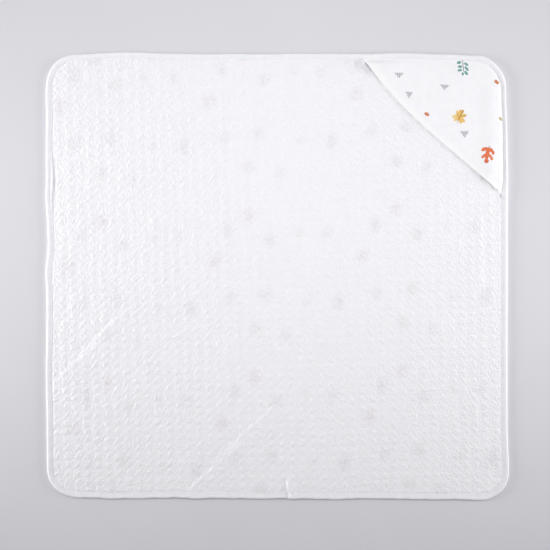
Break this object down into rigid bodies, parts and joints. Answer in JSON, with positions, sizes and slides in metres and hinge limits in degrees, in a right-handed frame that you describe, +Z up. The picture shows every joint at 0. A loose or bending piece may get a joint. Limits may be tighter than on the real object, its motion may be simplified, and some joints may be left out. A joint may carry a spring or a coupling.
{
  "type": "hooded baby towel",
  "caption": "Square quilted baby towel with rounded corners, a bound rim and a triangular printed hood sewn over one corner; shown lying flat, and it folds at the hood and across the middle.",
  "frame": {"origin": "on the ground under the middle of the towel's outline", "axes": "+Z up out of the inner side, +Y towards the hooded end, +X towards the hooded side; the hood covers the +X +Y corner"},
  "size_m": [0.9, 0.87, 0.0135],
  "materials": {
    "textured_cloth": "white jacquard relief",
    "printed_cloth": "white cotton with a small leaf print",
    "plain_cloth": "plain white cotton",
    "wadding": "soft white fibre",
    "binding_tape": "smooth white cotton tape",
    "sewing_thread": "white thread"
  },
  "bodies": {
    "right_panel": {"outer_layer_right": "printed_cloth", "filling_right": "wadding", "inner_layer_right": "textured_cloth", "binding_right": "binding_tape", "binding_thread_right": "sewing_thread", "binding_top": "binding_tape", "binding_thread_top": "sewing_thread"},
    "left_panel": {"outer_layer_left": "printed_cloth", "filling_left": "wadding", "inner_layer_left": "textured_cloth", "binding_left": "binding_tape", "binding_thread_left": "sewing_thread"},
    "hooded_corner": {"outer_layer_corner": "printed_cloth", "filling_corner": "wadding", "inner_layer_corner": "textured_cloth", "binding_corner": "binding_tape", "binding_thread_corner": "sewing_thread", "hood_lining": "plain_cloth", "hood_panel": "printed_cloth", "hood_mouth_seam": "printed_cloth"}
  },
  "joints": [
    {"name": "corner_fold", "type": "hinge", "parent": "right_panel", "child": "hooded_corner", "pos_m": [0.2805, 0.2805, 0.0096], "axis": [0.7071, -0.7071, 0], "range_deg": [0, 179]},
    {"name": "middle_fold", "type": "hinge", "parent": "right_panel", "child": "left_panel", "pos_m": [0, 0, 0.0132], "axis": [0, 1, 0], "range_deg": [0, 179]}
  ]
}
